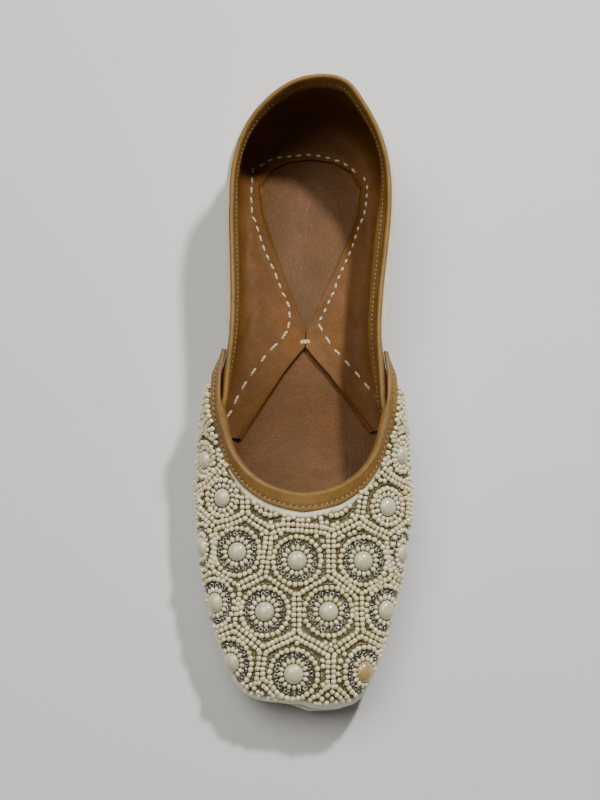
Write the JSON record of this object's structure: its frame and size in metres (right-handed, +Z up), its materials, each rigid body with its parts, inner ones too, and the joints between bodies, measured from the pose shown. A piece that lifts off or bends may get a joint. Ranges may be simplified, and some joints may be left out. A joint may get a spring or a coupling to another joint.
{
  "type": "mojari shoe",
  "caption": "Flat slip-on shoe with a bead-embroidered squared toe, bound topline, leather lining laced to the insole and a low stacked heel.",
  "frame": {"origin": "middle of the shoe's box, on the floor", "axes": "+Z up from the floor, +Y from toe to heel, +X to the right when looking from toe to heel"},
  "size_m": [0.086, 0.25, 0.0579],
  "materials": {
    "sole_leather": "buffed vegetable-tanned sole leather",
    "lining_leather": "satin brown lining leather with fine grain",
    "upper_cloth": "matt ivory cloth over leather",
    "embroidered_cloth": "ivory cloth under pearl and glass bead embroidery",
    "binding_leather": "tan leather tape, folded and stitched",
    "thread": "waxed cotton thread",
    "pearl": "pearl lustre beads and domes",
    "metal_cord": "antique gold metal cord and silver-lined beads"
  },
  "bodies": {
    "root": {"outsole": "sole_leather", "heel_lift": "sole_leather", "insole": "lining_leather", "lining_flaps": "lining_leather", "upper": "upper_cloth", "vamp": "embroidered_cloth", "quarter_binding": "binding_leather", "vamp_binding": "binding_leather"}
  },
  "joints": []
}
